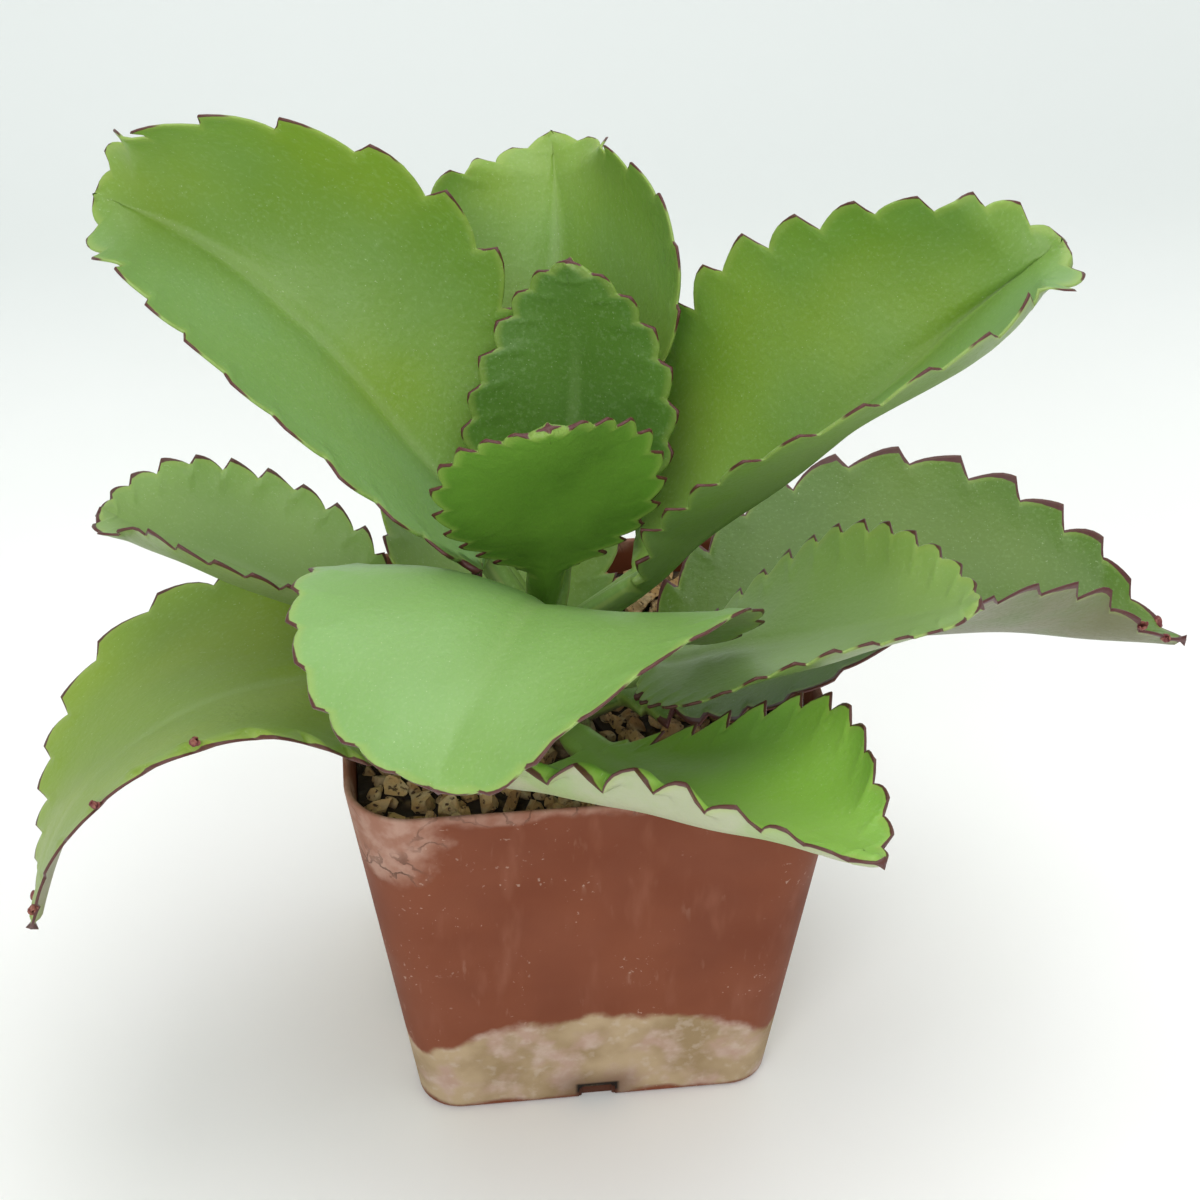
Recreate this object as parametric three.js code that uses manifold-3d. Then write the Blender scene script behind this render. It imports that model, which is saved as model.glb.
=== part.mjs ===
// A potted kalanchoe: a square plastic nursery pot filled with gritty growing medium, a root ball, one short
// stem and six opposite pairs of fleshy, toothed leaves, with coarse grit lying on the medium.
//
// Millimetres, +Z up. The origin is the middle of the pot's floor, on its underside, so the plant stands on
// z = 0. The pot's sides lie along X and Y and its front faces -Y. Headings are degrees in plan, from +X
// towards +Y.

import * as THREE from "three";
import { mergeVertices } from "three/addons/utils/BufferGeometryUtils.js";
import Module from "manifold-3d";

// ---------------------------------------------------------------- driving dimensions

const GAP = 0.3; // clearance between touching pieces

const POT_HEIGHT = 89.5; // a four-inch square nursery pot
const POT_RIM = { half: 50, corner: 13.5 };
const POT_BASE = { half: 38.25, corner: 9 };
const POT_WALL = 1.3;
const POT_FLOOR = 1.8;
const DRAIN_NOTCH = { width: 8, height: 4.4, reach: 1.5 }; // one through the foot of each side
const DRAIN_HOLE = { radius: 4, offset: 17, sides: 12 }; // four through the floor
const CORNER_STEPS = 6; // flats round each corner of the pot

const SOIL_TOP = 81.5; // mean level of the medium
const SOIL_RELIEF = 1.0; // how far its surface rises and falls
const SOIL_CELLS = 10; // squares along each side of that surface

const STEM_FOOT = new THREE.Vector3(-3.3, -15.2, 80.5);
const STEM_TOP = new THREE.Vector3(-9.3, -16.7, 115);
const STEM_FOOT_RADIUS = 5.6;
const STEM_TOP_RADIUS = 3.2;
const STEM_SIDES = 12;
const STEM_STEPS = 8;
const STEM_TIP_ROOM = 1.4; // between the tip and the youngest pair, which stand over it

const ROOT_BALL = { radius: 23, depth: 50, neck: 7.5, shoulder: 5, sides: 14 };

const LEAF = { midrib: 2.4, margin: 0.9 }; // thickness
const PETIOLE = { base: 2.2, full: 3.3, flare: 12 }; // half width at the stem and once it has flared
const TOOTH = { pitch: 9.5, depth: 2.2 };
const MIDRIB_STEP = 0.25; // how finely a midrib's curve is followed
const LEAF_STRIPS = 3; // flats from the midrib to each margin
const SLACK_HALF = 20; // a blade narrower than this on each side is flatter
const THICK_HALF = 8; // a stalk narrower than this on each side keeps its thickness to the margin
const STALK_SHARES = [0.35, 0.7, 1]; // where along the stalk its sections are
const FEWEST_TEETH = 8;

const GRIT_COUNT = 20;
const GRIT_RADIUS = { min: 3.4, max: 5 };
const GRIT_SPIRAL = { turn: 137.5, start: 0.4, inner: 15, outer: 39, square: 38 };
const GRIT_STRETCH = { x: 1.15, z: 0.8 };
const GRIT_LIFT = 0.3; // height of a stone's middle above the medium, as a share of its radius
const GRIT_SOCKET = { side: 1.4, height: 1.8 }; // room left in the medium round a stone, in gaps

const COLOURS = {
  pot: 0x9a4f3c, grit: 0xa88a62, medium: 0x7a6245, roots: 0x8a6f4f, stem: 0x7fa04f, leaf: 0x79ad4f,
};

// Every leaf is a trough that follows a curved midrib. Angles are degrees.
//   node: height where its midrib leaves the stem's axis      heading, sweep: direction, and turn by the tip
//   rise: slope at the stem and at the tip                    bend: above 1 the slope changes late
//   roll: sideways tilt at the stem and at the tip            crease: upward angle at the midrib
//   curl: further upturn of the margin, at the base and tip   lean: how much more the right half turns up
//   petiole, length, width: stalk and blade                   outline: place and bluntness of the widest part
//   skew: above 0 the right half is widest nearer the stalk
const LEAVES = [
  {
    name: "leaf_1_front", node: 112, heading: 273, sweep: -10, rise: [66, 56],
    bend: 0.9, roll: [-3, -13], crease: -3, curl: [-26, 29], lean: 0,
    petiole: 18.5, length: 51, width: 42, outline: [1.28, 0.44], skew: -0.1,
  },
  {
    name: "leaf_1_back", node: 113, heading: 53, sweep: -11, rise: [63, 102],
    bend: 1.05, roll: [-5, -16], crease: 7, curl: [33, 5], lean: -13,
    petiole: 13.5, length: 61, width: 43, outline: [0.8, 0.54], skew: -0.15,
  },
  {
    name: "leaf_2_left", node: 109, heading: 153, sweep: 2, rise: [55, 9],
    bend: 2.2, roll: [-10, 58], crease: 24, curl: [12, 63], lean: 5,
    petiole: 20.5, length: 104, width: 79, outline: [0.87, 0.49], skew: -0.37,
  },
  {
    name: "leaf_2_right", node: 107, heading: -19, sweep: 17, rise: [41, 46],
    bend: 0.6, roll: [11, -45], crease: 35, curl: [1, 42], lean: 4,
    petiole: 25, length: 104, width: 79, outline: [1.11, 0.4], skew: -0.33,
  },
  {
    name: "leaf_3_front", node: 105, heading: 267, sweep: -27, rise: [49, -33],
    bend: 1.55, roll: [34, 3], crease: 6, curl: [-10, 10], lean: -19,
    petiole: 18, length: 91, width: 81, outline: [0.75, 0.4], skew: -0.2,
  },
  {
    name: "leaf_3_back", node: 105, heading: 74, sweep: 18, rise: [56, 48],
    bend: 1, roll: [0, 15], crease: 25, curl: [16, 43], lean: 9,
    petiole: 21, length: 85, width: 86, outline: [1.32, 0.85], skew: 0.04,
  },
  {
    name: "leaf_4_left", node: 96.5, heading: 166, sweep: 4, rise: [15, 28],
    bend: 0.8, roll: [-9, 3], crease: 14, curl: [22, 26], lean: -8,
    petiole: 35.5, length: 62, width: 56, outline: [1.06, 0.4], skew: 0.18,
  },
  {
    name: "leaf_4_right", node: 96, heading: -41, sweep: 15, rise: [28, 26],
    bend: 1.2, roll: [-5, -5], crease: 3, curl: [6, 57], lean: -2,
    petiole: 26, length: 72, width: 51, outline: [0.96, 0.6], skew: 0.08,
  },
  {
    name: "leaf_5_front", node: 83.5, heading: -81, sweep: 34, rise: [24, 12],
    bend: 1.4, roll: [-28, 11], crease: -12, curl: [42, 132], lean: 17,
    petiole: 24, length: 88, width: 64, outline: [0.7, 0.8], skew: 0.6,
  },
  {
    name: "leaf_5_back", node: 87.5, heading: 110, sweep: -5, rise: [29, -3],
    bend: 1.1, roll: [9, -19], crease: 12, curl: [15, 55], lean: 0,
    petiole: 12, length: 66, width: 59, outline: [0.92, 0.55], skew: 0,
  },
  {
    name: "leaf_6_left", node: 85.5, heading: 175, sweep: 62, rise: [19, -64],
    bend: 1.9, roll: [24, -57], crease: 1, curl: [26, 6], lean: 3,
    petiole: 35, length: 97, width: 84, outline: [0.7, 0.9], skew: -0.12,
  },
  {
    name: "leaf_6_right", node: 86.5, heading: 9, sweep: -23, rise: [22, -6],
    bend: 0.6, roll: [-6, 22], crease: 23, curl: [-16, 52], lean: -6,
    petiole: 12, length: 120, width: 86, outline: [0.9, 0.87], skew: 0.13,
  },
];

// ---------------------------------------------------------------- small helpers

const { lerp, clamp, degToRad } = THREE.MathUtils;
const wasm = await Module();
wasm.setup();

const part = new THREE.Group();

function addMesh(name, geometry, color, roughness) {
  const mesh = new THREE.Mesh(geometry, new THREE.MeshStandardMaterial({ color, roughness, metalness: 0 }));
  mesh.name = name;
  part.add(mesh);
  return mesh;
}

function toSolid(geometry) {
  const bare = geometry.clone();
  bare.deleteAttribute("normal");
  bare.deleteAttribute("uv");
  const merged = mergeVertices(bare, 1e-4);
  return new wasm.Manifold(
    new wasm.Mesh({
      numProp: 3,
      vertProperties: Float32Array.from(merged.attributes.position.array),
      triVerts: Uint32Array.from(merged.index.array),
    }),
  );
}

function toGeometry(solid) {
  const mesh = solid.getMesh();
  const geometry = new THREE.BufferGeometry();
  geometry.setAttribute("position", new THREE.BufferAttribute(mesh.vertProperties, 3));
  geometry.setIndex(new THREE.BufferAttribute(mesh.triVerts, 1));
  geometry.computeVertexNormals();
  return geometry;
}

// A closed skin over equal rings of points, each ring anticlockwise seen from the next, with flat ends.
function skinRings(rings) {
  const count = rings[0].length;
  const positions = rings.flat().flatMap((p) => [p.x, p.y, p.z]);
  const index = [];
  for (let r = 0; r + 1 < rings.length; r += 1) {
    for (let i = 0; i < count; i += 1) {
      const a = r * count + i;
      const b = r * count + ((i + 1) % count);
      index.push(a, b, b + count, a, b + count, a + count);
    }
  }
  const last = (rings.length - 1) * count;
  for (let i = 1; i + 1 < count; i += 1) {
    index.push(0, i + 1, i);
    index.push(last, last + i, last + i + 1);
  }
  const geometry = new THREE.BufferGeometry();
  geometry.setAttribute("position", new THREE.Float32BufferAttribute(positions, 3));
  geometry.setIndex(index);
  geometry.computeVertexNormals();
  return geometry;
}

// A repeatable random number from 0 to 1 for each whole number.
function scatter(n) {
  const wave = Math.sin(n * 127.1 + 11.7) * 43758.5453;
  return wave - Math.floor(wave);
}

// ---------------------------------------------------------------- pot

// Points of a square with rounded corners at height z, anticlockwise seen from above.
function roundedSquare(half, corner, z) {
  const points = [];
  for (let quarter = 0; quarter < 4; quarter += 1) {
    const turn = (quarter * Math.PI) / 2;
    const centre = new THREE.Vector2(half - corner, half - corner).rotateAround(new THREE.Vector2(), turn);
    for (let i = 0; i <= CORNER_STEPS; i += 1) {
      const angle = turn + (i / CORNER_STEPS) * (Math.PI / 2);
      points.push(
        new THREE.Vector3(centre.x + corner * Math.cos(angle), centre.y + corner * Math.sin(angle), z),
      );
    }
  }
  return points;
}

// The pot's outer section at height z, drawn in by inset.
function potSection(z, inset) {
  const t = z / POT_HEIGHT;
  const half = lerp(POT_BASE.half, POT_RIM.half, t) - inset;
  const corner = lerp(POT_BASE.corner, POT_RIM.corner, t) - inset;
  return roundedSquare(half, corner, z);
}

function taperedBlock(zLow, zHigh, inset) {
  return toSolid(skinRings([potSection(zLow, inset), potSection(zHigh, inset)]));
}

function makePot() {
  const outside = taperedBlock(0, POT_HEIGHT, 0);
  const inside = taperedBlock(POT_FLOOR, POT_HEIGHT + 2, POT_WALL);
  let pot = outside.subtract(inside);
  const notch = new THREE.BoxGeometry(DRAIN_NOTCH.width, DRAIN_NOTCH.reach * 2, DRAIN_NOTCH.height * 2);
  const { radius, offset, sides } = DRAIN_HOLE;
  const hole = new THREE.CylinderGeometry(radius, radius, 20, sides).rotateX(Math.PI / 2);
  for (let side = 0; side < 4; side += 1) {
    const turn = new THREE.Matrix4().makeRotationZ((side * Math.PI) / 2);
    const foot = notch.clone().translate(0, -POT_BASE.half, 0).applyMatrix4(turn);
    const drain = hole.clone().translate(offset, offset, 0).applyMatrix4(turn);
    pot = pot.subtract(toSolid(foot)).subtract(toSolid(drain));
  }
  return toGeometry(pot);
}

// ---------------------------------------------------------------- stem and roots

// The stem's axis at height z, and its radius there. It leans a little to the left.
function stemAxis(z) {
  const t = (z - STEM_FOOT.z) / (STEM_TOP.z - STEM_FOOT.z);
  return new THREE.Vector3().lerpVectors(STEM_FOOT, STEM_TOP, t);
}

function stemRadius(z) {
  const t = clamp((z - STEM_FOOT.z) / (STEM_TOP.z - STEM_FOOT.z), 0, 1);
  return lerp(STEM_FOOT_RADIUS, STEM_TOP_RADIUS, t);
}

function makeStem() {
  const rings = [];
  for (let i = 0; i <= STEM_STEPS; i += 1) {
    const z = lerp(STEM_FOOT.z, STEM_TOP.z, i / STEM_STEPS);
    const centre = stemAxis(z);
    const radius = stemRadius(z);
    const ring = [];
    for (let k = 0; k < STEM_SIDES; k += 1) {
      const angle = (k / STEM_SIDES) * 2 * Math.PI;
      const reach = new THREE.Vector3(radius * Math.cos(angle), radius * Math.sin(angle), 0);
      ring.push(centre.clone().add(reach));
    }
    rings.push(ring);
  }
  return skinRings(rings);
}

// A blunt cone of roots below the stem. The hollow that it lies in is margin wider and opens upwards.
function makeRootBall(margin = 0) {
  const { radius, depth, neck, shoulder, sides } = ROOT_BALL;
  const top = STEM_FOOT.z - GAP;
  const mouth = margin > 0 ? SOIL_TOP + 10 - top : 0;
  const profile = [
    [0, -depth - margin],
    [radius * 0.45 + margin, -depth * 0.94 - margin],
    [radius * 0.85 + margin, -depth * 0.62 - margin],
    [radius + margin, -depth * 0.32],
    [radius * 0.8 + margin, -depth * 0.14 + margin],
    [neck + margin, -shoulder + margin],
    [neck + margin, mouth],
    [0, mouth],
  ].map(([r, z]) => new THREE.Vector2(r, z));
  return new THREE.LatheGeometry(profile, sides)
    .rotateX(Math.PI / 2)
    .translate(STEM_FOOT.x, STEM_FOOT.y, top);
}

// ---------------------------------------------------------------- growing medium and grit

function soilLevel(x, y) {
  const swell = Math.sin(x * 0.11 + 1.2) * Math.cos(y * 0.13 - 0.6) + 0.5 * Math.sin(x * 0.29 - y * 0.23);
  return SOIL_TOP + SOIL_RELIEF * swell;
}

// A block of medium with an uneven top, a little smaller than the inside of the pot.
function makeSoilBlock() {
  const inset = POT_WALL + GAP;
  const body = taperedBlock(POT_FLOOR + GAP, POT_HEIGHT, inset);
  const reach = POT_RIM.half + 4;
  const rows = [];
  for (let j = 0; j <= SOIL_CELLS; j += 1) {
    const y = lerp(-reach, reach, j / SOIL_CELLS);
    const top = [];
    const bottom = [];
    for (let i = 0; i <= SOIL_CELLS; i += 1) {
      const x = lerp(-reach, reach, i / SOIL_CELLS);
      top.push(new THREE.Vector3(x, y, soilLevel(x, y)));
      bottom.push(new THREE.Vector3(x, y, -5));
    }
    rows.push([...bottom, ...top.reverse()]);
  }
  return body.intersect(toSolid(skinRings(rows.reverse())));
}

// Loose stones lie round the stem on a spiral, each an irregular lump pressed a little into the medium.
function gritStone(n) {
  const radius = lerp(GRIT_RADIUS.min, GRIT_RADIUS.max, scatter(n));
  const { turn, start, inner, outer, square } = GRIT_SPIRAL;
  const angle = n * degToRad(turn) + start;
  const distance = lerp(inner, outer, Math.sqrt((n + 0.5) / GRIT_COUNT));
  const x = clamp(distance * Math.cos(angle), -square, square);
  const y = clamp(distance * Math.sin(angle), -square, square);
  const stone = new THREE.IcosahedronGeometry(radius, 0);
  const bare = mergeVertices(stone.deleteAttribute("normal").deleteAttribute("uv"), 1e-4);
  const corners = bare.attributes.position;
  for (let i = 0; i < corners.count; i += 1) {
    const swell = 0.8 + 0.3 * scatter(n * 31 + i);
    const [cx, cy, cz] = [corners.getX(i), corners.getY(i), corners.getZ(i)];
    corners.setXYZ(i, cx * swell * GRIT_STRETCH.x, cy * swell, cz * swell * GRIT_STRETCH.z);
  }
  bare.rotateZ(scatter(n + 50) * Math.PI);
  return { geometry: bare, place: new THREE.Vector3(x, y, soilLevel(x, y) + radius * GRIT_LIFT), radius };
}

// ---------------------------------------------------------------- leaves

// The blade's half width at share t of its length, on side 1 (right) or -1 (left).
function bladeHalf(leaf, t, side) {
  const [place, bluntness] = leaf.outline;
  const shifted = clamp(t, 1e-5, 1 - 1e-5) ** (place * Math.exp(-leaf.skew * side));
  return (leaf.width / 2) * Math.sin(Math.PI * shifted) ** bluntness;
}

// The direction of the midrib at distance s from the stem's axis, and the leaf's across and up directions.
function leafFrame(leaf, s) {
  const start = leaf.petiole / 2;
  const t = clamp((s - start) / (leaf.petiole + leaf.length - start), 0, 1);
  const rise = degToRad(lerp(leaf.rise[0], leaf.rise[1], t ** leaf.bend));
  const heading = degToRad(leaf.heading + leaf.sweep * t);
  const roll = degToRad(lerp(leaf.roll[0], leaf.roll[1], t));
  const along = new THREE.Vector3(
    Math.cos(rise) * Math.cos(heading), Math.cos(rise) * Math.sin(heading), Math.sin(rise),
  );
  const level = new THREE.Vector3(Math.sin(heading), -Math.cos(heading), 0);
  const facing = new THREE.Vector3().crossVectors(level, along);
  const across = level.clone().multiplyScalar(Math.cos(roll)).addScaledVector(facing, Math.sin(roll));
  const up = facing.clone().multiplyScalar(Math.cos(roll)).addScaledVector(level, -Math.sin(roll));
  return { along, across, up };
}

// One cross-section: points over the upper face from the left margin to the right, then back underneath.
// Where sinus is 1 the margin is drawn in to the notch between two teeth.
function leafSection(leaf, centre, frame, s, sinus) {
  const t = (s - leaf.petiole) / leaf.length;
  const stalk = lerp(PETIOLE.base, PETIOLE.full, clamp(s / PETIOLE.flare, 0, 1)) * clamp(1.1 - t, 0.15, 1);
  const curlHere = lerp(leaf.curl[0], leaf.curl[1], clamp(t, 0, 1));
  const top = [];
  const bottom = [];
  for (let i = -LEAF_STRIPS; i <= LEAF_STRIPS; i += 1) {
    const side = Math.sign(i);
    const v = Math.abs(i) / LEAF_STRIPS;
    const blade = t > 0 && t < 1 ? bladeHalf(leaf, t, side) : 0;
    let half = (blade ** 4 + stalk ** 4) ** 0.25;
    half -= sinus * Math.min(TOOTH.depth, half * 0.2);
    const slack = clamp(half / SLACK_HALF, 0, 1);
    const crease = degToRad((leaf.crease + (leaf.lean * side) / 2) * slack);
    const curl = degToRad((curlHere + leaf.lean * side) * slack) || 1e-4;
    const angle = crease + curl * v;
    const out = (half * (Math.sin(angle) - Math.sin(crease))) / curl;
    const lift = (half * (Math.cos(crease) - Math.cos(angle))) / curl;
    const middle = centre.clone().addScaledVector(frame.across, side * out).addScaledVector(frame.up, lift);
    const normal = frame.up.clone().multiplyScalar(Math.cos(angle))
      .addScaledVector(frame.across, -side * Math.sin(angle));
    const thick = lerp(LEAF.midrib, LEAF.margin, Math.min(1, v * clamp(half / THICK_HALF, 0.35, 1)));
    top.push(middle.clone().addScaledVector(normal, thick / 2));
    bottom.push(middle.clone().addScaledVector(normal, -thick / 2));
  }
  return [...top, ...bottom.reverse()];
}

function isClearOfStem(ring) {
  return ring.every((point) => {
    const axis = stemAxis(point.z);
    const away = Math.hypot(point.x - axis.x, point.y - axis.y);
    return point.z > STEM_TOP.z + STEM_TIP_ROOM || away > stemRadius(point.z) + GAP;
  });
}

function makeLeaf(leaf) {
  const midrib = stemAxis(leaf.node);
  let s = 0;
  const advanceTo = (station) => {
    while (s < station - 1e-6) {
      const step = Math.min(MIDRIB_STEP, station - s);
      midrib.addScaledVector(leafFrame(leaf, s + step / 2).along, step);
      s += step;
    }
  };
  const sectionHere = (sinus) => leafSection(leaf, midrib, leafFrame(leaf, s), s, sinus);

  while (!isClearOfStem(sectionHere(0))) {
    advanceTo(s + MIDRIB_STEP);
  }
  const start = s;
  const rings = [sectionHere(0)];
  for (const share of STALK_SHARES) {
    advanceTo(lerp(start, leaf.petiole, share));
    rings.push(sectionHere(0));
  }
  const halfTeeth = 2 * Math.max(FEWEST_TEETH, Math.round(leaf.length / TOOTH.pitch));
  for (let i = 1; i < halfTeeth; i += 1) {
    advanceTo(leaf.petiole + (leaf.length * i) / halfTeeth);
    rings.push(sectionHere(i % 2));
  }
  advanceTo(leaf.petiole + leaf.length);
  rings.push(sectionHere(0));
  return skinRings(rings);
}

// ---------------------------------------------------------------- assembly

addMesh("nursery_pot", makePot(), COLOURS.pot, 0.75);

let soil = makeSoilBlock().subtract(toSolid(makeRootBall(GAP)));
for (let n = 0; n < GRIT_COUNT; n += 1) {
  const { geometry, place, radius } = gritStone(n);
  const sideways = 1 + (GAP / radius) * GRIT_SOCKET.side;
  const upright = 1 + (GAP / radius) * GRIT_SOCKET.height;
  const socket = geometry.clone().scale(sideways, sideways, upright);
  soil = soil.subtract(toSolid(socket.translate(place.x, place.y, place.z)));
  const stone = addMesh(`grit_stone_${String(n + 1).padStart(2, "0")}`, geometry, COLOURS.grit, 0.95);
  stone.position.copy(place);
}
addMesh("growing_medium", toGeometry(soil), COLOURS.medium, 1);

addMesh("root_ball", makeRootBall(), COLOURS.roots, 1);
addMesh("stem", makeStem(), COLOURS.stem, 0.6);
for (const leaf of LEAVES) {
  addMesh(leaf.name, makeLeaf(leaf), COLOURS.leaf, 0.5);
}

export default part;
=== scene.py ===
# A potted kalanchoe: a square plastic nursery pot of gritty medium, a short stem and six opposite pairs of
# fleshy, toothed leaves. Metres, +Z up; the pot stands on z = 0 and its front faces -Y.

import math

import bmesh
import bpy
import numpy as np
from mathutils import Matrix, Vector


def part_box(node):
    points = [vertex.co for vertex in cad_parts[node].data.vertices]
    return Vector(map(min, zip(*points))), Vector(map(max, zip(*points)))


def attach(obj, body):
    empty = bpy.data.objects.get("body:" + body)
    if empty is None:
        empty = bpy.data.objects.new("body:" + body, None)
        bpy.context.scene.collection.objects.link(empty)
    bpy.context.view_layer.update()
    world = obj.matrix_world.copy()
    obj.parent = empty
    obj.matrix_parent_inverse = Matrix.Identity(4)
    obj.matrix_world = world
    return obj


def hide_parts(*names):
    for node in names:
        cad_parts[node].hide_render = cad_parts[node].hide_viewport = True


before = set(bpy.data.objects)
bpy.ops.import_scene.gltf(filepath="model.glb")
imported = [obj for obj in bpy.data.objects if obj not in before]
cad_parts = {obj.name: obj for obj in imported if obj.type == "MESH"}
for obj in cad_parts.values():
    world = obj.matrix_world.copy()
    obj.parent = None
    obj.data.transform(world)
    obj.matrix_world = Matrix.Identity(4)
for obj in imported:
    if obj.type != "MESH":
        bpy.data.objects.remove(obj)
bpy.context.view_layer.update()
MM = 0.001

# ---------------------------------------------------------------- nursery pot
# One square, tapered pot, injection moulded in brick-red plastic, with a rounded lip, a notch through the
# foot of each side and four round holes in its floor. Hard water has left scale on its foot and its lip.

POT_HEIGHT = 89.5
POT_RIM_HALF, POT_RIM_CORNER = 50.0, 13.5
POT_BASE_HALF, POT_BASE_CORNER = 38.25, 9.0
POT_WALL, POT_FLOOR = 1.3, 1.8
POT_EDGE = 1.2  # radius of the bottom edge
CORNER_STEPS, SIDE_STEPS = 10, 12
NOTCH_WIDTH, NOTCH_HEIGHT, NOTCH_REACH, NOTCH_ROUNDING = 8.0, 4.4, 1.5, 0.7
HOLE_RADIUS, HOLE_OFFSET, HOLE_CUT = 4.0, 17.0, 20.0
SCALE_HEIGHT, SCALE_ARCH = 0.0280, -7.5  # in the middle of a side, and how it drops towards the corners
CRUST_CORNER = (-0.0455, -0.0455, 0.0885)


def mix(a, b, t):
    return a + (b - a) * t


def rounded_square(half, corner, z):
    """Points anticlockwise round a square with rounded corners at height z."""
    ring = []
    for quarter in range(4):
        turn = quarter * math.pi / 2
        turned = np.array([[math.cos(turn), -math.sin(turn)], [math.sin(turn), math.cos(turn)]])
        arc = [
            (half - corner + corner * math.cos(a), half - corner + corner * math.sin(a))
            for a in np.linspace(0, math.pi / 2, CORNER_STEPS + 1)
        ]
        side = [(half - corner - 2 * (half - corner) * k / SIDE_STEPS, half) for k in range(1, SIDE_STEPS)]
        ring += [(*(turned @ point), z) for point in arc + side]
    return np.array(ring)


def pot_ring(z, inset):
    t = min(max(z / POT_HEIGHT, 0), 1)
    half = mix(POT_BASE_HALF, POT_RIM_HALF, t) - inset
    corner = max(mix(POT_BASE_CORNER, POT_RIM_CORNER, t) - inset, half * 0.2)
    return rounded_square(half, corner, z)


def mesh_object(name, points, faces, smooth_below=None):
    """A mesh object from points in millimetres, smooth except where faces meet more sharply than an angle."""
    mesh = bpy.data.meshes.new(name)
    mesh.from_pydata([tuple(p) for p in np.asarray(points) * MM], [], faces)
    mesh.polygons.foreach_set("use_smooth", [True] * len(mesh.polygons))
    if smooth_below is not None:
        mesh.set_sharp_from_angle(angle=math.radians(smooth_below))
    made = bpy.data.objects.new(name, mesh)
    bpy.context.scene.collection.objects.link(made)
    return made


def skin_faces(ring_count, ring_size):
    """The faces of a closed skin over equal rings, with its two ends closed."""
    faces = []
    for r in range(ring_count - 1):
        for i in range(ring_size):
            a = r * ring_size + i
            b = r * ring_size + (i + 1) % ring_size
            faces.append((a, b, b + ring_size, a + ring_size))
    last = (ring_count - 1) * ring_size
    faces.append(tuple(range(ring_size - 1, -1, -1)))
    faces.append(tuple(range(last, last + ring_size)))
    return faces


def cut_away(target, cutters):
    """Cuts the cutters out of the target and removes them."""
    for cutter in cutters:
        step = target.modifiers.new("cut", "BOOLEAN")
        step.operation = "DIFFERENCE"
        step.solver = "EXACT"
        step.object = cutter
    bpy.context.view_layer.update()
    result = bpy.data.meshes.new_from_object(target.evaluated_get(bpy.context.evaluated_depsgraph_get()))
    target.modifiers.clear()
    target.data = result
    for cutter in cutters:
        bpy.data.objects.remove(cutter)


def make_pot():
    lip = POT_WALL / 2
    rings = [pot_ring(0, POT_BASE_HALF - 3), pot_ring(0, POT_EDGE + 3), pot_ring(0, POT_EDGE)]
    for a in np.linspace(15, 90, 6):
        turn = math.radians(a)
        rings.append(pot_ring(POT_EDGE * (1 - math.cos(turn)), POT_EDGE * (1 - math.sin(turn))))
    for z in np.linspace(POT_EDGE + 1.5, POT_HEIGHT - lip, 26):
        rings.append(pot_ring(z, 0))
    for a in np.linspace(0, 180, 9)[1:]:
        turn = math.radians(a)
        rings.append(pot_ring(POT_HEIGHT - lip + lip * math.sin(turn), lip * (1 - math.cos(turn))))
    for z in np.linspace(POT_HEIGHT - 4, POT_FLOOR + 1.5, 12):
        rings.append(pot_ring(z, POT_WALL))
    rings += [pot_ring(POT_FLOOR, POT_WALL + 1.2), pot_ring(POT_FLOOR, POT_BASE_HALF - 3)]
    pot = mesh_object("pot", np.concatenate(rings), skin_faces(len(rings), len(rings[0])))
    cutters = []
    for side in range(4):
        bm = bmesh.new()
        bmesh.ops.create_cube(bm, size=1)
        block = (NOTCH_WIDTH * MM, 2 * NOTCH_REACH * MM, 2 * NOTCH_HEIGHT * MM)
        bmesh.ops.scale(bm, vec=block, verts=bm.verts)
        bmesh.ops.bevel(bm, geom=bm.edges, offset=NOTCH_ROUNDING * MM, segments=3, affect="EDGES")
        bmesh.ops.translate(bm, vec=(0, -POT_BASE_HALF * MM, 0), verts=bm.verts)
        radius = HOLE_RADIUS * MM
        hole = bmesh.ops.create_cone(
            bm, cap_ends=True, segments=32, radius1=radius, radius2=radius, depth=HOLE_CUT * MM
        )
        bmesh.ops.translate(bm, vec=(HOLE_OFFSET * MM, HOLE_OFFSET * MM, 0), verts=hole["verts"])
        cutter = mesh_object(f"cutter_{side}", np.zeros((0, 3)), [])
        bm.to_mesh(cutter.data)
        bm.free()
        cutter.rotation_euler.z = side * math.pi / 2
        cutters.append(cutter)
    cut_away(pot, cutters)
    pot.data.set_sharp_from_angle(angle=math.radians(40))
    return pot


def new_material(name, roughness=0.6):
    material = bpy.data.materials.new(name)
    material.use_nodes = True
    shader = material.node_tree.nodes["Principled BSDF"]
    shader.inputs["Roughness"].default_value = roughness
    return material, material.node_tree, shader


def node(tree, kind, inputs=None, **settings):
    """Adds a node. An input is given by name or place, as a value or as the socket that feeds it."""
    made = tree.nodes.new(kind)
    for key, value in settings.items():
        setattr(made, key, value)
    for key, value in (inputs or {}).items():
        if isinstance(value, bpy.types.NodeSocket):
            tree.links.new(value, made.inputs[key])
        else:
            made.inputs[key].default_value = value
    return made


def maths(tree, operation, a, b=0.0, c=0.0):
    return node(tree, "ShaderNodeMath", {0: a, 1: b, 2: c}, operation=operation).outputs[0]


def times(tree, a, b, plus=0.0):
    return maths(tree, "MULTIPLY_ADD", a, b, plus)


def noise(tree, vector, scale, detail):
    return node(tree, "ShaderNodeTexNoise", {"Vector": vector, "Scale": scale, "Detail": detail}).outputs[0]


def between(tree, value, low, high):
    """0 at low, 1 at high, smooth between them, and flat outside them."""
    made = node(tree, "ShaderNodeMapRange", {0: value, 1: low, 2: high}, interpolation_type="SMOOTHSTEP")
    return made.outputs[0]


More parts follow.
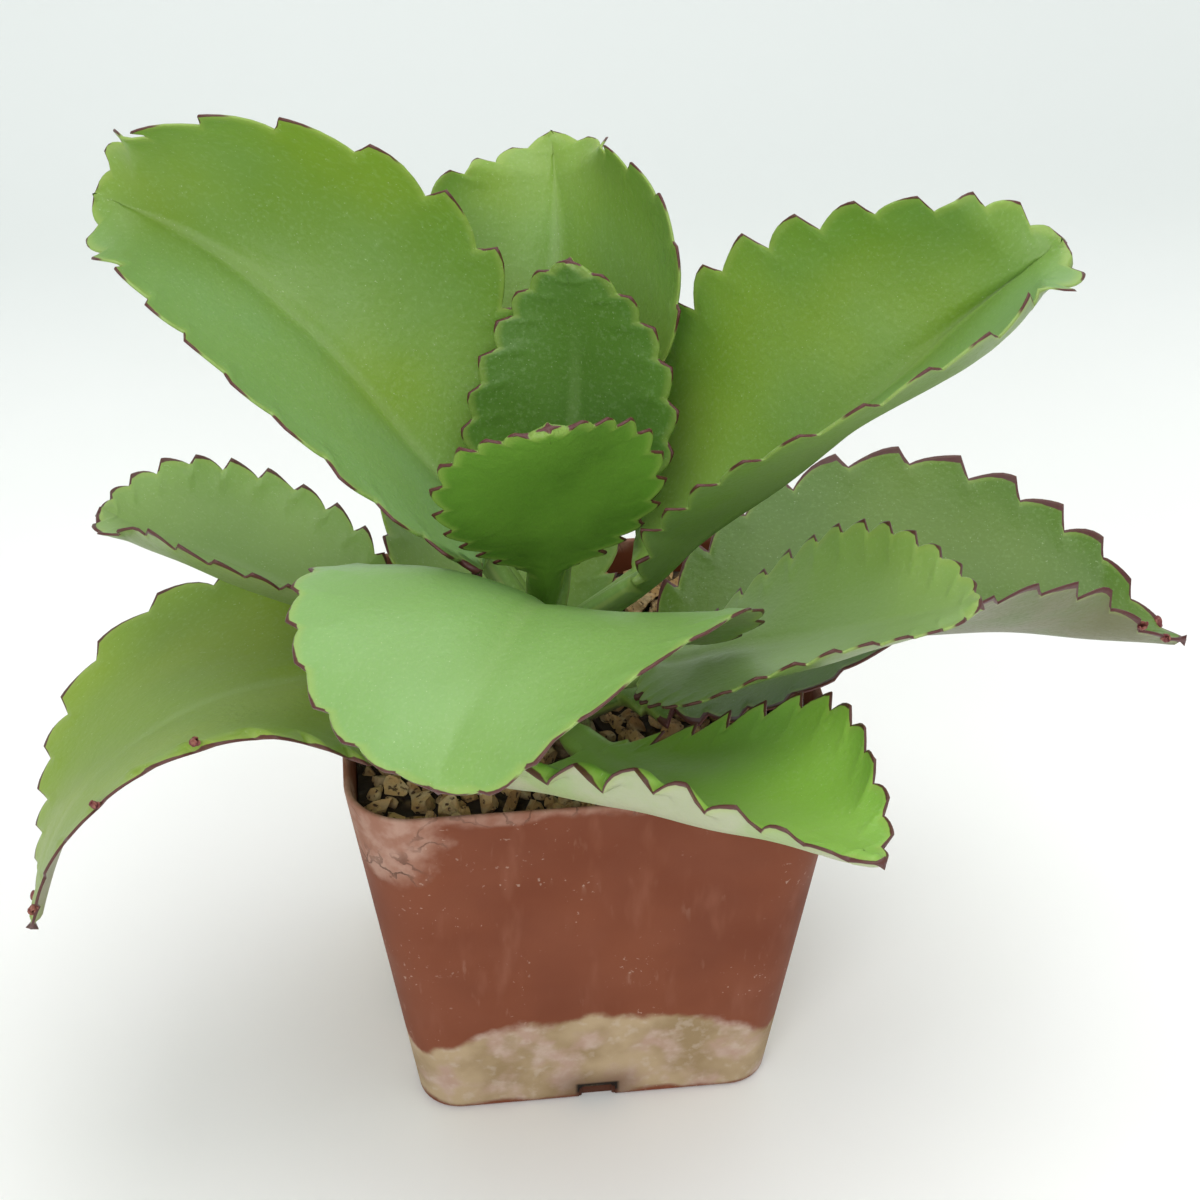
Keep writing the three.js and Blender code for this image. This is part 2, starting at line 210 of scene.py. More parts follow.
def blend(tree, factor, a, b):
    """Colour a where factor is 0 and b where it is 1."""
    return node(tree, "ShaderNodeMix", {0: factor, 6: a, 7: b}, data_type="RGBA").outputs[2]


def mottle_group():
    """Cloudy noise, cut to a mask that is 0 below one level and 1 above another."""
    tree = bpy.data.node_groups.new("mottle", "ShaderNodeTree")
    for name, kind in (
        ("Vector", "NodeSocketVector"), ("Scale", "NodeSocketFloat"), ("Detail", "NodeSocketFloat"),
        ("Low", "NodeSocketFloat"), ("High", "NodeSocketFloat"),
    ):
        tree.interface.new_socket(name, in_out="INPUT", socket_type=kind)
    tree.interface.new_socket("Mask", in_out="OUTPUT", socket_type="NodeSocketFloat")
    given = tree.nodes.new("NodeGroupInput").outputs
    cloud = noise(tree, given["Vector"], given["Scale"], given["Detail"])
    mask = between(tree, cloud, given["Low"], given["High"])
    tree.links.new(mask, tree.nodes.new("NodeGroupOutput").inputs["Mask"])
    return tree


MOTTLE = mottle_group()


def mottle(tree, vector, scale, low=0.35, high=0.65, detail=3.0):
    """A cloudy mask of the size that a scale gives, from the shared group."""
    made = node(tree, "ShaderNodeGroup", node_tree=MOTTLE)
    tree.links.new(vector, made.inputs["Vector"])
    for name, value in (("Scale", scale), ("Detail", detail), ("Low", low), ("High", high)):
        made.inputs[name].default_value = value
    return made.outputs["Mask"]


def finish_with_bump(tree, shader, height, distance):
    bump = node(tree, "ShaderNodeBump", {"Height": height, "Distance": distance, "Strength": 1.0})
    tree.links.new(bump.outputs["Normal"], shader.inputs["Normal"])


def foot_scale(tree, place, x, y, z, ragged):
    """Hard-water scale on the pot's foot, highest in the middle of each side: its mask and its colour."""
    from_middle = maths(tree, "MINIMUM", maths(tree, "ABSOLUTE", x), maths(tree, "ABSOLUTE", y))
    squared = times(tree, from_middle, from_middle)
    arch = times(tree, squared, SCALE_ARCH, SCALE_HEIGHT)
    arch = times(tree, maths(tree, "SUBTRACT", ragged, 0.5), 0.011, arch)
    under_arch = between(tree, maths(tree, "SUBTRACT", arch, z), -0.0014, 0.0016)
    worn_foot = between(tree, times(tree, ragged, 0.006, z), 0.0036, 0.0052)
    mask = times(tree, under_arch, worn_foot)

    tan = blend(tree, mottle(tree, place, 75), (0.31, 0.225, 0.12, 1), (0.46, 0.35, 0.215, 1))
    pink = blend(tree, mottle(tree, place, 190), (0.44, 0.30, 0.23, 1), (0.52, 0.395, 0.32, 1))
    deposit = blend(tree, mottle(tree, place, 105, 0.44, 0.62, 7), tan, pink)
    flakes = times(tree, mottle(tree, place, 330, 0.55, 0.7, 6), 0.4)
    deposit = blend(tree, flakes, deposit, (0.56, 0.46, 0.38, 1))
    round_notch = between(tree, from_middle, 0.0125, 0.004)
    algae = times(tree, round_notch, between(tree, z, 0.0115, 0.004))
    deposit = blend(tree, times(tree, algae, 0.8), deposit, (0.13, 0.075, 0.035, 1))
    return mask, deposit, from_middle


def notch_shade(tree, z, from_middle):
    """The dark inside of the notches, which is painted shade: its mask and its colour."""
    side, top = NOTCH_WIDTH / 2 * MM, NOTCH_HEIGHT * MM
    mask = times(
        tree,
        between(tree, from_middle, side + 0.0012, side + 0.0001),
        between(tree, z, top + 0.0010, top + 0.0001),
    )
    shade = blend(tree, between(tree, z, 0.0016, 0.0026), (0.085, 0.028, 0.014, 1), (0.010, 0.006, 0.004, 1))
    return mask, shade


def lip_crust(tree, place, z, ragged):
    """A crust along the lip, thick and cracked at the front left corner: its mask, colour and cracks."""
    to_corner = node(tree, "ShaderNodeVectorMath", {0: place, 1: CRUST_CORNER}, operation="DISTANCE")
    corner = times(tree, maths(tree, "SUBTRACT", ragged, 0.5), 0.02, to_corner.outputs["Value"])
    patch = between(tree, corner, 0.0175, 0.0125)
    lip_edge = times(tree, ragged, 0.009, 0.0818)
    lip_band = times(tree, between(tree, maths(tree, "SUBTRACT", z, lip_edge), 0.0, 0.0022), 0.45)
    crust = maths(tree, "MAXIMUM", lip_band, times(tree, patch, 0.7))
    colour = blend(tree, mottle(tree, place, 240), (0.36, 0.19, 0.135, 1), (0.50, 0.325, 0.255, 1))

    wander = node(tree, "ShaderNodeTexNoise", {"Vector": place, "Scale": 130.0, "Detail": 4.0})
    warped = node(
        tree, "ShaderNodeVectorMath", {0: wander.outputs["Color"], 1: (0.012,) * 3, 2: place},
        operation="MULTIPLY_ADD",
    ).outputs[0]
    cell = node(tree, "ShaderNodeTexVoronoi", {"Vector": warped, "Scale": 95.0}, feature="DISTANCE_TO_EDGE")
    cracks = times(tree, between(tree, cell.outputs["Distance"], 0.035, 0.012), crust)
    cracks = times(tree, cracks, mottle(tree, place, 50, 0.4, 0.55))
    return crust, colour, cracks


def pot_material():
    material, tree, shader = new_material("weathered_red_plastic")
    place = node(tree, "ShaderNodeTexCoord").outputs["Object"]
    x, y, z = node(tree, "ShaderNodeSeparateXYZ", {0: place}).outputs[0:3]
    tall = node(tree, "ShaderNodeVectorMath", {0: place, 1: (1.0, 1.0, 0.22)}, operation="MULTIPLY")
    tall = tall.outputs[0]
    ragged = noise(tree, place, 95.0, 9.0)

    colour = blend(tree, mottle(tree, place, 34, 0.3, 0.7), (0.158, 0.039, 0.015, 1), (0.20, 0.056, 0.024, 1))
    colour = blend(tree, mottle(tree, tall, 160, 0.55, 0.8), colour, (0.23, 0.078, 0.042, 1))
    streaked, dusted = mottle(tree, place, 45, 0.45, 0.62), mottle(tree, place, 70, 0.5, 0.62)
    streaks = times(tree, mottle(tree, tall, 420, 0.62, 0.72, 6), streaked)
    specks = times(tree, mottle(tree, place, 900, 0.66, 0.72, 2), dusted)
    colour = blend(tree, times(tree, streaks, 0.22), colour, (0.44, 0.26, 0.19, 1))
    colour = blend(tree, times(tree, specks, 0.35), colour, (0.62, 0.47, 0.38, 1))

    scale_mask, deposit, from_middle = foot_scale(tree, place, x, y, z, ragged)
    colour = blend(tree, times(tree, scale_mask, 0.93), colour, deposit)
    in_notch, shade = notch_shade(tree, z, from_middle)
    colour = blend(tree, in_notch, colour, shade)
    crust, crust_colour, cracks = lip_crust(tree, place, z, ragged)
    colour = blend(tree, crust, colour, crust_colour)
    colour = blend(tree, cracks, colour, (0.085, 0.04, 0.025, 1))
    tree.links.new(colour, shader.inputs["Base Color"])

    dull = maths(tree, "MAXIMUM", scale_mask, crust)
    sheen = times(tree, mottle(tree, place, 60), 0.1, 0.6)
    tree.links.new(times(tree, dull, 0.25, sheen), shader.inputs["Roughness"])
    shader.inputs["Specular IOR Level"].default_value = 0.25
    grain = noise(tree, place, 1500.0, 3.0)
    height = times(tree, grain, times(tree, dull, 0.35, 0.06))
    height = times(tree, dull, 0.4, height)
    height = times(tree, cracks, -0.9, height)
    finish_with_bump(tree, shader, height, 0.00035)
    return material


pot = make_pot()
pot.data.materials.clear()
pot.data.materials.append(pot_material())
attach(pot, "root")
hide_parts("nursery_pot")

# ---------------------------------------------------------------- growing medium and root ball
# A damp mineral mix of crushed pumice, lava and bark, poured round the roots and settled by watering. The
# roots have bound part of it into a ball under the stem.

SOIL_TOP, SOIL_RELIEF = 81.5, 1.0


def soil_level(x, y):
    swell = np.sin(x * 0.11 + 1.2) * np.cos(y * 0.13 - 0.6) + 0.5 * np.sin(x * 0.29 - y * 0.23)
    return SOIL_TOP + SOIL_RELIEF * swell


def earth_material(name, dark, light, scale):
    material, tree, shader = new_material(name, roughness=0.95)
    place = node(tree, "ShaderNodeTexCoord").outputs["Object"]
    lumps = node(tree, "ShaderNodeTexVoronoi", {"Vector": place, "Scale": scale}).outputs
    # Gaps between the lumps keep the dark colour and sit low in the bump: painted shade in the crevices, over
    # the mix's own mottled tone.
    raised = between(tree, lumps["Distance"], 0.6, 0.1)
    tone = times(tree, mottle(tree, place, scale * 1.6), raised)
    tree.links.new(blend(tree, tone, dark, light), shader.inputs["Base Color"])
    finish_with_bump(tree, shader, maths(tree, "SUBTRACT", tone, lumps["Distance"]), 0.0012)
    return material


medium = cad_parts["growing_medium"]
medium.data.materials.clear()
medium.data.materials.append(
    earth_material("damp_mineral_mix", (0.02, 0.011, 0.004, 1), (0.11, 0.07, 0.03, 1), 260.0)
)
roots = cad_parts["root_ball"]
roots.data.materials.clear()
roots.data.materials.append(
    earth_material("matted_roots", (0.09, 0.05, 0.025, 1), (0.34, 0.25, 0.15, 1), 420.0)
)

# ---------------------------------------------------------------- grit
# Crushed, porous stone the colour of dry clay, sieved to a few millimetres and scattered over the medium as a
# top dressing. Each stone is broken on every side, so it is a lump of flat chips.

GRIT_RADIUS = (1.5, 3.6)
GRIT_TRIES = 9000
GRIT_SORTING = 1.6  # above 1, small stones are commoner than large ones
GRIT_SPACING = 0.78  # below 1, a stone lies partly over the next one
CHIPS, CHIP_LEVELS = 13, (0.3, 0.66)  # how many, and how far from a unit ball's middle they are struck
WHOLE_LARGE, WHOLE_SMALL = 1.4, 1.55  # how much larger than the chipped stone the unchipped ball is
POT_INSIDE_HALF, POT_INSIDE_CORNER = 46.6, 11.5
STEM_FOOT = np.array([-3.3, -15.2, 80.5])
STEM_CLEARANCE = 6.5

rng = np.random.default_rng(40)


def sphere_of_triangles(subdivisions):
    bm = bmesh.new()
    bmesh.ops.create_icosphere(bm, subdivisions=subdivisions, radius=1)
    points = np.array([tuple(v.co) for v in bm.verts])
    faces = np.array([[v.index for v in f.verts] for f in bm.faces])
    bm.free()
    return points, faces


def random_turn():
    """A rotation matrix for a turn to any direction alike."""
    q = rng.normal(size=4)
    w, x, y, z = q / np.linalg.norm(q)
    return np.array([
        [1 - 2 * (y * y + z * z), 2 * (x * y - w * z), 2 * (x * z + w * y)],
        [2 * (x * y + w * z), 1 - 2 * (x * x + z * z), 2 * (y * z - w * x)],
        [2 * (x * z - w * y), 2 * (y * z + w * x), 1 - 2 * (x * x + y * y)],
    ])


def chipped_stone(sphere, stretch):
    """A unit stone: a ball with flat chips struck off all round, then stretched."""
    points = sphere.copy()
    for _ in range(CHIPS):
        struck = rng.normal(size=3)
        struck /= np.linalg.norm(struck)
        proud = np.maximum(points @ struck - rng.uniform(*CHIP_LEVELS), 0)
        points -= np.outer(proud, struck)
    points += rng.normal(scale=0.03, size=points.shape)
    return (points * stretch) @ random_turn().T


def grit_material():
    material, tree, shader = new_material("crushed_clay_stone", roughness=0.92)
    place = node(tree, "ShaderNodeTexCoord").outputs["Object"]
    tone = node(tree, "ShaderNodeAttribute", attribute_name="tone").outputs["Fac"]
    colour = blend(tree, tone, (0.25, 0.135, 0.042, 1), (0.50, 0.32, 0.13, 1))
    colour = blend(tree, mottle(tree, place, 330, 0.4, 0.7, 5), colour, (0.46, 0.35, 0.19, 1))
    pits = mottle(tree, place, 900, 0.58, 0.68, 4)
    colour = blend(tree, pits, colour, (0.09, 0.05, 0.022, 1))
    tree.links.new(colour, shader.inputs["Base Color"])
    rough = noise(tree, place, 1100.0, 5.0)
    finish_with_bump(tree, shader, times(tree, pits, -0.8, rough), 0.0004)
    return material


def stones_object(name, stones, sphere, faces, material):
    """One mesh of stones, each given as a centre, a radius, a stretch and a tone."""
    points, all_faces, tones = [], [], []
    for k, (centre, radius, stretch, tone) in enumerate(stones):
        points.append(chipped_stone(sphere, stretch) * radius + centre)
        all_faces.append(faces + k * len(sphere))
        tones += [tone] * len(sphere)
    made = mesh_object(name, np.concatenate(points), np.concatenate(all_faces).tolist(), smooth_below=24)
    made.data.attributes.new("tone", "FLOAT", "POINT").data.foreach_set("value", tones)
    made.data.materials.append(material)
    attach(made, "root")
    return made


def inside_pot(x, y, clearance):
    straight = POT_INSIDE_HALF - POT_INSIDE_CORNER
    return math.hypot(max(abs(x) - straight, 0), max(abs(y) - straight, 0)) < POT_INSIDE_CORNER - clearance


GRIT = grit_material()
fine_sphere, fine_faces = sphere_of_triangles(3)
coarse_sphere, coarse_faces = sphere_of_triangles(2)
taken = []
for n in range(1, 21):
    low, high = (np.array(corner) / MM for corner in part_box(f"grit_stone_{n:02d}"))
    centre, size = (low + high) / 2, high - low
    stone = stones_object(
        f"stone_{n:02d}", [(centre, size.mean() / 2 * WHOLE_LARGE, (1.1, 0.95, 0.85), rng.uniform())],
        fine_sphere, fine_faces, GRIT,
    )
    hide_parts(f"grit_stone_{n:02d}")
    taken.append((centre[0], centre[1], size[:2].mean() / 2))
loose = []
for _ in range(GRIT_TRIES):
    x, y = rng.uniform(-POT_INSIDE_HALF, POT_INSIDE_HALF, 2)
    radius = mix(*GRIT_RADIUS, rng.uniform() ** GRIT_SORTING)
    near_stem = math.hypot(x - STEM_FOOT[0], y - STEM_FOOT[1]) < STEM_CLEARANCE + radius
    if near_stem or not inside_pot(x, y, radius * 0.75):
        continue
    others = np.array(taken)
    if (np.hypot(others[:, 0] - x, others[:, 1] - y) < GRIT_SPACING * (others[:, 2] + radius)).any():
        continue
    taken.append((x, y, radius))
    centre = np.array([x, y, soil_level(x, y) + radius * rng.uniform(0.0, 0.45)])
    loose.append((centre, radius * WHOLE_SMALL, rng.uniform((1, 0.8, 0.7), (1.3, 1.0, 0.9)), rng.uniform()))
stones_object("loose_grit", loose, coarse_sphere, coarse_faces, GRIT)

# ---------------------------------------------------------------- stem
# One short, fleshy stem, a little leaning, corky and brown at the foot and green above. It swells where a
# pair of leaves is joined to it, and ends in a rounded tip among the newest leaves.

STEM_TOP = np.array([-9.3, -16.7, 115.0])
STEM_RADII = (5.8, 3.6)
STEM_SIDES = 36
STEM_JOINTS = (84, 90, 98.5, 107.5, 113.5)
JOINT_HALF, JOINT_SWELL = 1.6, 0.08
TIP_START, TIP_LENGTH = 114.0, 2.8


def stem_axis(z):
    return STEM_FOOT + (STEM_TOP - STEM_FOOT) * (z - STEM_FOOT[2]) / (STEM_TOP[2] - STEM_FOOT[2])


def stem_radius(z):
    t = min(max((z - STEM_FOOT[2]) / (STEM_TOP[2] - STEM_FOOT[2]), 0), 1)
    joints = sum(math.exp(-(((z - level) / JOINT_HALF) ** 2)) for level in STEM_JOINTS)
    return mix(*STEM_RADII, t) * (1 + JOINT_SWELL * joints)


def make_stem():
    rings = []
    around = np.linspace(0, 2 * math.pi, STEM_SIDES, endpoint=False)
    for z in [*np.arange(79.0, 115.0, 0.5), 115.4, 115.9, 116.3, 116.6]:
        tip = math.sqrt(max(1 - ((z - TIP_START) / TIP_LENGTH) ** 2, 0.02)) if z > TIP_START else 1
        ripple = 1 + 0.025 * np.sin(around * 5 + z * 0.7) + 0.015 * np.sin(around * 11 - z * 1.9)
        reach = stem_radius(z) * tip * ripple
        centre = stem_axis(z)
        rings.append(np.stack([
            centre[0] + reach * np.cos(around), centre[1] + reach * np.sin(around), np.full(STEM_SIDES, z)
        ], axis=-1))
    return mesh_object("main_stem", np.concatenate(rings), skin_faces(len(rings), STEM_SIDES))


def stem_material():
    material, tree, shader = new_material("fleshy_stem", roughness=0.55)
    place = node(tree, "ShaderNodeTexCoord").outputs["Object"]
    z = node(tree, "ShaderNodeSeparateXYZ", {0: place}).outputs[2]
    green = blend(tree, mottle(tree, place, 220), (0.15, 0.26, 0.06, 1), (0.25, 0.36, 0.11, 1))
    cork = blend(tree, mottle(tree, place, 500), (0.17, 0.11, 0.055, 1), (0.33, 0.25, 0.14, 1))
    rise = times(tree, mottle(tree, place, 180), 0.006, z)
    colour = blend(tree, between(tree, rise, 0.086, 0.096), cork, green)
    tree.links.new(colour, shader.inputs["Base Color"])
    finish_with_bump(tree, shader, mottle(tree, place, 700), 0.0003)
    return material


stem = make_stem()
stem.data.materials.append(stem_material())
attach(stem, "root")
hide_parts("stem")

# ---------------------------------------------------------------- leaves
# Thick, fleshy leaves grown in opposite pairs, each one piece with its channelled stalk. A pale wax blooms
# on the green skin, and every margin is cut into forward-pointing teeth, rimmed yellow and edged in maroon.

MIDRIB_STEP = 0.25
STALK_HALF = (2.2, 3.3)  # half the stalk's width at the stem and once it has flared
STALK_FLARE = 12.0
STALK_DEPTH = 5.2
STALK_ROWS = 14
BLADE_DEPTH = (2.5, 0.55)  # at the midrib and at the margin
SLACK_HALF = 20.0  # a blade narrower than this on each side is flatter
TOOTH_TIP = 0.86  # how far along a tooth its tip stands
TOOTH_STEPS = (0, 0.1, 0.24, 0.42, 0.6, 0.75, 0.86, 0.93)
TOOTH_ROOM = 9.0  # how far in from the margin a tooth bends the blade
TOOTH_SPREAD = 0.45  # teeth are this much wider apart in the middle of a margin than at its ends
TOOTH_STEEPEST = 0.38  # the most depth that a tooth has, as a share of its length
NOTCH_DEPTH = 0.62  # share of a tooth's depth that its notch cuts in from the plain outline
TIP_TEETH = 0.5  # how deep teeth are at a leaf's tip, as a share of the others
RIM_WIDTH = 5.0  # how much of the margin turns down where a rim is rolled
ROW_SWEEP = 1.35  # above 1 a row of points leaves the midrib squarely and bends towards the margin
MAROON = (0.55, 0.5)  # where along a tooth its maroon line starts, and how wide it grows, in millimetres
MARGIN_LINES = (0, 0.5, 1.2, 2.4, 4.2, 6.8)  # how far in from the margin lines of points run
INNER_LINES = 7
NARROW = 14.0  # where a half is narrower than this, those lines draw together
SWELL_HEIGHT, NOTCH_BUMP, TOOTH_FLICK = 0.38, 0.42, 0.3
CHANNEL_DEPTH, CHANNEL_HALF = 0.5, 1.7  # the groove over the midrib
KEEL_DEPTH, KEEL_HALF = 0.6, 2.4  # the ridge under it
EDGE_REACH = 0.22  # how far the rounded edge stands out past the two faces
EDGE_GAP, EDGE_SHADE = -0.35, 0.3  # what the skin reads there: past the margin, and partly underside

FRESH = dict(
    deep=(0.145, 0.27, 0.022), bright=(0.215, 0.335, 0.026),
    bloom=(0.20, 0.35, 0.125), under=(0.17, 0.26, 0.075),
)
YOUNG = dict(
    deep=(0.065, 0.155, 0.015), bright=(0.10, 0.215, 0.022),
    bloom=(0.11, 0.23, 0.055), under=(0.135, 0.28, 0.032),
)
WAXY = dict(
    deep=(0.185, 0.335, 0.075), bright=(0.205, 0.365, 0.085),
    bloom=(0.235, 0.41, 0.14), under=(0.22, 0.28, 0.12),
)
PALE = dict(
    deep=(0.20, 0.335, 0.07), bright=(0.26, 0.395, 0.085),
    bloom=(0.32, 0.48, 0.17), under=(0.22, 0.29, 0.11),
)
OLDER = dict(
    deep=(0.18, 0.29, 0.022), bright=(0.27, 0.37, 0.025),
    bloom=(0.22, 0.33, 0.07), under=(0.33, 0.335, 0.20),
)
AGED = dict(
    deep=(0.075, 0.160, 0.010), bright=(0.115, 0.205, 0.012),
    bloom=(0.10, 0.185, 0.03), under=(0.15, 0.155, 0.07),
)
# FOLDED is brighter than the others: painted light that lifts the shade inside the deeply folded leaf.
FOLDED = dict(
    deep=(0.21, 0.42, 0.045), bright=(0.27, 0.48, 0.05),
    bloom=(0.26, 0.46, 0.12), under=(0.42, 0.45, 0.29),
)

# Degrees and millimetres. rise, roll and curl are at the foot and at the tip, outline is where the blade is
# widest and how pointed it is, and lean is how much more one half folds and curls than the other.
LEAVES = [
    dict(name="leaf_1_front", node=112, heading=273, sweep=-10, rise=(66, 56), bend=0.9, roll=(-3, -13),
         crease=-3, curl=(-26, 29), lean=0, petiole=18.5, length=51, width=42, outline=(1.28, 0.44),
         skew=-0.1, teeth=12, depth=2.3, tip=0.72, look=YOUNG),
    dict(name="leaf_1_back", node=113, heading=53, sweep=-11, rise=(63, 102), bend=1.05, roll=(-5, -16),
         crease=7, curl=(33, 5), lean=-13, petiole=13.5, length=61, width=43, outline=(0.8, 0.54),
         skew=-0.15, teeth=11, depth=2.5, tip=0.78, look=YOUNG),
    dict(name="leaf_2_left", node=109, heading=153, sweep=2, rise=(55, 9), bend=2.2, roll=(-10, 58),
         crease=24, curl=(12, 63), lean=5, petiole=20.5, length=104, width=79, outline=(0.87, 0.49),
         skew=-0.37, teeth=14, depth=4.6, tip=0.80, waxed=-1, look=FRESH),
    dict(name="leaf_2_right", node=107, heading=-19, sweep=17, rise=(41, 46), bend=0.6, roll=(11, -45),
         crease=35, curl=(1, 42), lean=4, petiole=25, length=104, width=79, outline=(1.11, 0.4),
         skew=-0.33, teeth=14, depth=4.4, tip=0.79, waxed=1, look=FRESH),
    dict(name="leaf_3_front", node=105, heading=267, sweep=-27, rise=(49, -33), bend=1.55, roll=(34, 3),
         crease=6, curl=(-10, 10), lean=-19, petiole=18, length=91, width=81, outline=(0.75, 0.4),
         skew=-0.2, teeth=13, depth=1.9, tip=0.80, waxed=1, maroon=(0.1, 0.7), look=WAXY),
    dict(name="leaf_3_back", node=105, heading=74, sweep=18, rise=(56, 48), bend=1, roll=(0, 15),
         crease=25, curl=(16, 43), lean=9, petiole=21, length=85, width=86, outline=(1.32, 0.85),
         skew=0.04, teeth=13, depth=3.0, tip=0.80, look=FRESH),
    dict(name="leaf_4_left", node=96.5, heading=166, sweep=4, rise=(15, 28), bend=0.8, roll=(-9, 3),
         crease=14, curl=(22, 26), lean=-8, petiole=35.5, length=62, width=56, outline=(1.06, 0.4),
         skew=0.18, teeth=13, depth=2.7, tip=0.84, waxed=-1, maroon=(-0.4, 1.1), look=PALE),
    dict(name="leaf_4_right", node=96, heading=-41, sweep=15, rise=(28, 26), bend=1.2, roll=(-5, -5),
         crease=3, curl=(6, 57), lean=-2, petiole=26, length=72, width=51, outline=(0.96, 0.6),
         skew=0.08, teeth=15, depth=2.4, tip=0.84, waxed=1, maroon=(0.4, 0.8), look=PALE),
    dict(name="leaf_5_front", node=83.5, heading=-81, sweep=34, rise=(24, 12), bend=1.4, roll=(-28, 11),
         crease=-12, curl=(42, 132), lean=17, petiole=24, length=88, width=64, outline=(0.7, 0.8),
         skew=0.6, teeth=13, depth=3.2, tip=0.82, rims=(0, 95), maroon=(-0.8, 0.7), look=FOLDED),
    dict(name="leaf_5_back", node=87.5, heading=110, sweep=-5, rise=(29, -3), bend=1.1, roll=(9, -19),
         crease=12, curl=(15, 55), lean=0, petiole=12, length=66, width=59, outline=(0.92, 0.55),
         skew=0, teeth=11, depth=2.8, tip=0.86, look=FRESH),
    dict(name="leaf_6_left", node=85.5, heading=175, sweep=62, rise=(19, -64), bend=1.9, roll=(24, -57),
         crease=1, curl=(26, 6), lean=3, petiole=35, length=97, width=84, outline=(0.7, 0.9),
         skew=-0.12, teeth=14, depth=3.6, tip=0.82, rims=(40, 0), maroon=(-0.6, 0.9), look=OLDER),
    dict(name="leaf_6_right", node=86.5, heading=9, sweep=-23, rise=(22, -6), bend=0.6, roll=(-6, 22),
         crease=23, curl=(-16, 52), lean=-6, petiole=12, length=120, width=86, outline=(0.9, 0.87),
         skew=0.13, teeth=15, depth=3.9, tip=0.82, maroon=(-1.2, 1.5), look=AGED),
]


def leaf_directions(leaf, s):
    """Unit directions along, across and up from the leaf at distances s from the stem's axis."""
    start = leaf["petiole"] / 2
    t = np.clip((s - start) / (leaf["petiole"] + leaf["length"] - start), 0, 1)
    rise = np.radians(mix(*leaf["rise"], t ** leaf["bend"]))
    heading = np.radians(leaf["heading"] + leaf["sweep"] * t)
    roll = np.radians(mix(*leaf["roll"], t))[..., None]
    along = np.stack([np.cos(rise) * np.cos(heading), np.cos(rise) * np.sin(heading), np.sin(rise)], -1)
    level = np.stack([np.sin(heading), -np.cos(heading), np.zeros_like(heading)], -1)
    facing = np.cross(level, along)
    across = level * np.cos(roll) + facing * np.sin(roll)
    up = facing * np.cos(roll) - level * np.sin(roll)
    return along, across, up


def midrib_points(leaf, s):
    """Where the midrib is at distances s from the stem's axis."""
    grid = np.arange(0, leaf["petiole"] + leaf["length"] + 8, MIDRIB_STEP)
    steps = leaf_directions(leaf, grid + MIDRIB_STEP / 2)[0] * MIDRIB_STEP
    line = np.concatenate([[np.zeros(3)], np.cumsum(steps, 0)[:-1]]) + stem_axis(leaf["node"])
    return np.stack([np.interp(s, grid, line[:, k]) for k in range(3)], -1)


def half_width(leaf, s, side):
    """The half width of the right (side 1) or left (side -1) of the leaf at distances s."""
    t = (s - leaf["petiole"]) / leaf["length"]
    inside = np.clip(t, 1e-5, 1 - 1e-5)
    place, pointed = leaf["outline"]
    shape = np.sin(np.pi * inside ** (place * np.exp(-leaf["skew"] * side))) ** pointed
    blade = np.where((t > 0) & (t < 1), leaf["width"] / 2 * shape, 0)
    stalk = mix(*STALK_HALF, np.clip(s / STALK_FLARE, 0, 1)) * np.clip(1.1 - t, 0.15, 1)
    return (blade ** 4 + stalk ** 4) ** 0.25


def eased(t):
    t = np.clip(t, 0, 1)
    return t * t * (3 - 2 * t)


def leaf_outline(leaf, side):
    """Distances along the leaf, half widths, and lengths along the margin from the blade's foot."""
    foot, total = leaf["petiole"], leaf["petiole"] + leaf["length"]
    w = np.linspace(0, 1, 6000)
    s = foot + (total - foot) * (1 - (1 - w ** 1.5) ** 3)
    half = half_width(leaf, s, side)
    travelled = np.concatenate([[0], np.cumsum(np.hypot(np.diff(s), np.diff(half)))])
    return s, half, travelled


def tooth_rows(leaf):
    """Each row's share of the margin's length, its phase in its tooth, and that tooth's own share."""
    q = np.linspace(0, 1, 800)
    spacing = 1 + TOOTH_SPREAD * np.sin(np.pi * q)
    count = np.concatenate([[0], np.cumsum(2 / (spacing[1:] + spacing[:-1]))])
    whole = leaf["teeth"] - 1 + leaf["tip"]
    count *= whole / count[-1]
    steps = [p * leaf["tip"] / TOOTH_TIP if p <= TOOTH_TIP else mix(leaf["tip"], 1, 0.5) for p in TOOTH_STEPS]
    marks = np.array([n + p for n in range(leaf["teeth"]) for p in steps])
    marks = marks[marks <= whole + 1e-6]
    shares = np.interp(marks, count, q)
    return shares, marks % 1, np.interp(shares, q, spacing * whole / (1 / spacing).mean() / whole ** 2)


def tooth_profile(phase, tip):
    """How far out a tooth stands, 0 in the notch and 1 at its tip: a long convex rise and a short fall."""
    x = np.clip(phase / tip, 0, 1)
    fall = np.clip((phase - tip) / (1 - tip), 0, 1)
    return np.where(phase <= tip, 0.72 * np.sin(x * np.pi / 2) ** 0.9 + 0.28 * x, 1 - fall ** 0.85)


def tip_fade(shares):
    """Teeth get shallower towards a leaf's tip."""
    return mix(1, TIP_TEETH, eased((shares - 0.78) / 0.17))


def lines_across(width):
    """Where the lines of points cross rows of these widths: 0 at the midrib and 1 at the margin."""
    width = np.maximum(width, 1e-6)[:, None]
    margin = 1 - np.array(MARGIN_LINES)[None, ::-1] * np.minimum(1, width / NARROW) / width
    inner = margin[:, :1] * np.arange(INNER_LINES + 1)[None] / (INNER_LINES + 1)
    return np.concatenate([inner, margin], axis=1)


